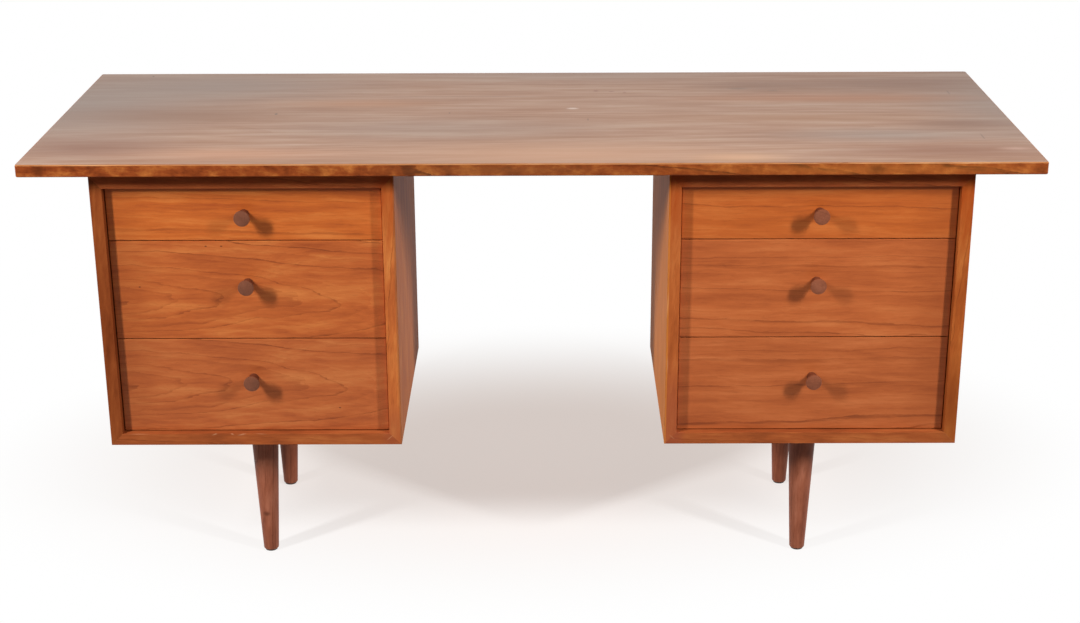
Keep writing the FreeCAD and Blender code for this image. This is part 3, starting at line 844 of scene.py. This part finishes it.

# Broad patches, each with its place along and across, length, width, colour, share and core.
# Haze, partly clouded lacquer and partly painted reflection of the white room, lies mostly over
# the ends. The face is dark in places, and paler at the middle of the front.
HAZE_AND_SHEEN = "#98857A"
CLOUDS = (
    (-0.84, 0.06, 0.80, 0.80, HAZE_AND_SHEEN, 0.85, 0),
    (-0.58, 0.22, 0.80, 0.40, HAZE_AND_SHEEN, 0.7, 0),
    (-0.18, -0.10, 0.90, 0.24, HAZE_AND_SHEEN, 0.4, 0),
    (0.05, 0.32, 1.20, 0.24, HAZE_AND_SHEEN, 0.4, 0),
    (0.88, 0.06, 0.50, 0.80, HAZE_AND_SHEEN, 0.7, 0),
    (0.60, -0.15, 0.60, 0.14, HAZE_AND_SHEEN, 0.6, 0),
    (0.05, -0.27, 1.00, 0.24, "#D4A07C", 0.7, 0),
    (-0.50, -0.26, 0.66, 0.12, "#CE9068", 0.6, 0),
    (-0.74, -0.22, 0.46, 0.22, "#80492A", 0.6, 0),
    (-0.60, 0.00, 0.84, 0.20, "#8A5834", 0.55, 0),
    (-0.31, 0.08, 0.44, 0.09, "#BC7E50", 0.5, 0),
    (0.42, 0.21, 0.36, 0.14, "#7E4E2E", 0.6, 0),
    (0.66, 0.22, 0.64, 0.22, "#86583C", 0.7, 0),
    (0.54, 0.11, 0.84, 0.10, "#B26C3A", 0.6, 0),
    (0.47, -0.03, 0.84, 0.12, "#AE7A50", 0.4, 0),
    (0.74, -0.08, 0.30, 0.10, "#84563A", 0.6, 0),
    (0.70, -0.25, 0.56, 0.14, "#8A4C1E", 0.75, 0),
    (0.34, -0.29, 0.24, 0.08, "#E4B084", 0.6, 0),
)

# Small marks, given in the same way: dark spots, short scratches and pale rubs.
MARKS = (
    (-0.457, 0.005, 0.007, 0.016, "#5E5048", 0.7, 0.4),
    (-0.148, 0.009, 0.004, 0.009, "#4A3A30", 0.7, 0.4),
    (-0.734, 0.301, 0.005, 0.012, "#5A4A40", 0.6, 0.4),
    (0.117, 0.172, 0.013, 0.014, "#8A4A38", 0.6, 0.3),
    (0.146, 0.168, 0.015, 0.010, "#8A4A38", 0.5, 0.3),
    (0.170, 0.160, 0.010, 0.012, "#8A4A38", 0.5, 0.3),
    (0.072, 0.039, 0.030, 0.016, "#F4E4D8", 0.6, 0.2),
    (0.098, -0.040, 0.003, 0.020, "#5A4638", 0.6, 0.4),
    (0.383, 0.188, 0.055, 0.022, "#7A5C48", 0.5, 0.1),
    (0.447, 0.172, 0.030, 0.016, "#7A5C48", 0.5, 0.1),
    (0.770, 0.152, 0.004, 0.040, "#6A5244", 0.5, 0.3),
    (0.765, -0.163, 0.004, 0.050, "#6A5244", 0.5, 0.3),
    (0.804, -0.240, 0.090, 0.030, "#DCB4A0", 0.5, 0),
)
STAIN_DEPTH = 0.02
for along, across, length, width, colour, share, core in CLOUDS + MARKS:
    place = (along, across, slab_high.z)
    stain(face_walnut, place, (length, width, STAIN_DEPTH), colour, share, core)
edge_walnut = sawn_wood(
    "oiled_walnut_slab_edge",
    ("#602710", "#964820", "#C67638"),
    "#4A2210",
    pith=(0.2, -0.18, slab_high.z - 0.06),
    grain=(0, math.radians(5), math.radians(2)),
    ring=0.010,
    reach=0.3,
    line=1,
    pore=0.4,
    gloss=0.15,
    roughness=0.6,
)

# Along the front edge: two broad changes of tone and three dark spots.
EDGE_MIDDLE = slab_high.z - 0.011
EDGE_STAIN_HEIGHT = 0.03
for along, length, colour, share in (
    (0.55, 0.90, "#C07434", 0.4),
    (-0.05, 0.60, "#8E5C34", 0.4),
    (-0.800, 0.030, "#54280F", 0.6),
    (-0.350, 0.060, "#5E3014", 0.3),
    (0.560, 0.050, "#54280F", 0.6),
):
    place = (along, slab_low.y, EDGE_MIDDLE)
    stain(edge_walnut, place, (length, STAIN_DEPTH, EDGE_STAIN_HEIGHT), colour, share, core=0)
# The arrises are paler: partly rubbed, and partly a painted highlight along the edge.
arris_walnut = sawn_wood(
    "rubbed_and_highlit_walnut_slab_arris",
    ("#A86436", "#C68654", "#DAA270"),
    "#8A4C28",
    gloss=0.2,
    **SLAB_TRUNK,
)
slab_finishes = (face_walnut, edge_walnut, arris_walnut)
for finish in slab_finishes:
    slab.data.materials.append(finish)

# How far up a side looks: the slab's face looks almost straight up, and its arris part way.
FACE_UP = 0.99
ARRIS_MOST = 0.95
ARRIS_LEAST = 0.15
for face in slab.data.polygons:
    if face.normal.z > FACE_UP:
        finish = face_walnut
    elif ARRIS_LEAST < face.normal.z < ARRIS_MOST:
        finish = arris_walnut
    else:
        finish = edge_walnut
    face.material_index = slab_finishes.index(finish)
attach(slab, "desk")
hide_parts("desk_top")

# Floor: a wide sheet of white studio paper. Near the desk it keeps the desk's shadow, which a
# glow of its own holds pale, and further off it fades into the white behind.
# The light that it throws back on the desk is held low.
FLOOR_SIZE = 16
SHADOW_CENTRE = (0, 0.24, 0)
SHADOW_REACH = (1.34, 0.82, 1)
SHADOW_TURN = math.radians(4)
FADE_START = 0.2
FADE_END = 0.9
PAPER_GLOW = 0.565
bpy.ops.object.select_all(action="DESELECT")
bpy.ops.mesh.primitive_plane_add(size=FLOOR_SIZE)
floor = bpy.context.object
floor.name = "studio_floor"
paper, paper_tree = blank_material("white_studio_paper")


def seen_rays(tree):
    """1 for what the eye sees, straight, mirrored or through glass, and 0 for scattered light."""
    light_path = tree.nodes.new("ShaderNodeLightPath").outputs
    mirrored = add(
        tree,
        "ShaderNodeMath",
        {0: light_path["Is Glossy Ray"], 1: light_path["Is Transmission Ray"]},
        operation="MAXIMUM",
    )
    return add(
        tree, "ShaderNodeMath", {0: light_path["Is Camera Ray"], 1: mirrored}, operation="MAXIMUM"
    )


WHITE = linear("#FFFFFF")
paper_spot = add(paper_tree, "ShaderNodeTexCoord", {}, "Object")
paper_place = add(
    paper_tree,
    "ShaderNodeMapping",
    {
        "Vector": paper_spot,
        "Location": SHADOW_CENTRE,
        "Rotation": (0, 0, SHADOW_TURN),
        "Scale": SHADOW_REACH,
    },
    vector_type="TEXTURE",
)
paper_distance = add(
    paper_tree, "ShaderNodeVectorMath", {0: paper_place}, "Value", operation="LENGTH"
)
paper_fade = add(
    paper_tree,
    "ShaderNodeMapRange",
    {"Value": paper_distance, "From Min": FADE_START, "From Max": FADE_END},
    interpolation_type="SMOOTHSTEP",
)
matt_paper = add(paper_tree, "ShaderNodeBsdfDiffuse", {"Color": linear("#A9AAAA")})
dim_paper = add(paper_tree, "ShaderNodeBsdfDiffuse", {"Color": linear("#8C8C8C")})
glow = add(
    paper_tree, "ShaderNodeEmission", {"Color": linear("#FFF4EE"), "Strength": PAPER_GLOW}
)
bright_paper = add(paper_tree, "ShaderNodeAddShader", {0: matt_paper, 1: glow})
far_white = add(paper_tree, "ShaderNodeEmission", {"Color": WHITE, "Strength": 1})
seen_paper = add(
    paper_tree, "ShaderNodeMixShader", {0: paper_fade, 1: bright_paper, 2: far_white}
)
paper_shader = add(
    paper_tree, "ShaderNodeMixShader", {0: seen_rays(paper_tree), 1: dim_paper, 2: seen_paper}
)
add(paper_tree, "ShaderNodeOutputMaterial", {"Surface": paper_shader})
floor.data.materials.append(paper)

# Light: two tall studio softboxes stand in front, to the left and to the right, above the slab.
# A grid holds each to its own case, and they are polarised, so they leave no glare on the slab.
# The left one is the stronger, and the white room, brightest behind, fills in the rest.
SOFTBOX_WIDTH = 0.28
SOFTBOX_HEIGHT = 0.9
SOFTBOX_ASIDE = 2.55
SOFTBOX_FORWARD = 2.0
AIM_DEPTH = -0.28
AIM_HEIGHT = 0.5

# Each softbox has its side, power, height, spread in degrees, and how far out it aims.
SOFTBOXES = {
    "left_softbox": (-1, 16.6, 2.16, 70, 0.42),
    "right_softbox": (1, 7.0, 2.06, 46, 0.45),
}
for name, (side, power, height, spread, aim_aside) in SOFTBOXES.items():
    stand = Vector((side * SOFTBOX_ASIDE, -SOFTBOX_FORWARD, height))
    own_case = Vector((side * aim_aside, AIM_DEPTH, AIM_HEIGHT))
    bpy.ops.object.light_add(type="AREA", location=stand)
    softbox = bpy.context.object
    softbox.name = name
    softbox.data.energy = power
    softbox.data.shape = "RECTANGLE"
    softbox.data.size = SOFTBOX_WIDTH
    softbox.data.size_y = SOFTBOX_HEIGHT
    softbox.data.spread = math.radians(spread)
    softbox.visible_glossy = False
    softbox.rotation_euler = (own_case - stand).to_track_quat("-Z", "Y").to_euler()

# The room's light grows from the front to the back, by how far back a direction points.
FRONT_FILL = 0.04
BACK_FILL = 0.55
FRONT_END = -0.2
BACK_END = 0.6
world = bpy.data.worlds.new("white_room")
bpy.context.scene.world = world
world.use_nodes = True
world_tree = world.node_tree
world_tree.nodes.clear()
direction = add(world_tree, "ShaderNodeTexCoord", {}, "Generated")
backward = add(world_tree, "ShaderNodeSeparateXYZ", {"Vector": direction}, "Y")
fill_strength = add(
    world_tree,
    "ShaderNodeMapRange",
    {
        "Value": backward,
        "From Min": FRONT_END,
        "From Max": BACK_END,
        "To Min": FRONT_FILL,
        "To Max": BACK_FILL,
    },
)
fill = add(
    world_tree, "ShaderNodeBackground", {"Color": linear("#FFEDE2"), "Strength": fill_strength}
)
white = add(world_tree, "ShaderNodeBackground", {"Color": WHITE, "Strength": 1})
room = add(world_tree, "ShaderNodeMixShader", {0: seen_rays(world_tree), 1: fill, 2: white})
add(world_tree, "ShaderNodeOutputWorld", {"Surface": room})

# Camera: at the height of a standing person's eyes, looking down on the desk from the front.
# Its place, turn and lens are those that put the desk's edges where the photograph has them.
CAMERA_PLACE = (0.0249, -3.2558, 1.5903)
CAMERA_TILT = math.radians(90 - 20.281)
CAMERA_PAN = math.radians(0.2276)
CAMERA_ROLL = math.radians(-0.2345)
SENSOR_WIDTH = 36
LENS = 62.573
bpy.ops.object.camera_add()
camera = bpy.context.object
camera.name = "camera"
level_turn = Euler((CAMERA_TILT, 0, CAMERA_PAN)).to_matrix()
camera_turn = level_turn @ Matrix.Rotation(CAMERA_ROLL, 3, "Z")
camera.location = CAMERA_PLACE
camera.rotation_euler = camera_turn.to_euler()
camera.data.sensor_width = SENSOR_WIDTH
camera.data.lens = LENS
bpy.context.scene.camera = camera
bpy.context.scene.view_settings.view_transform = "Standard"
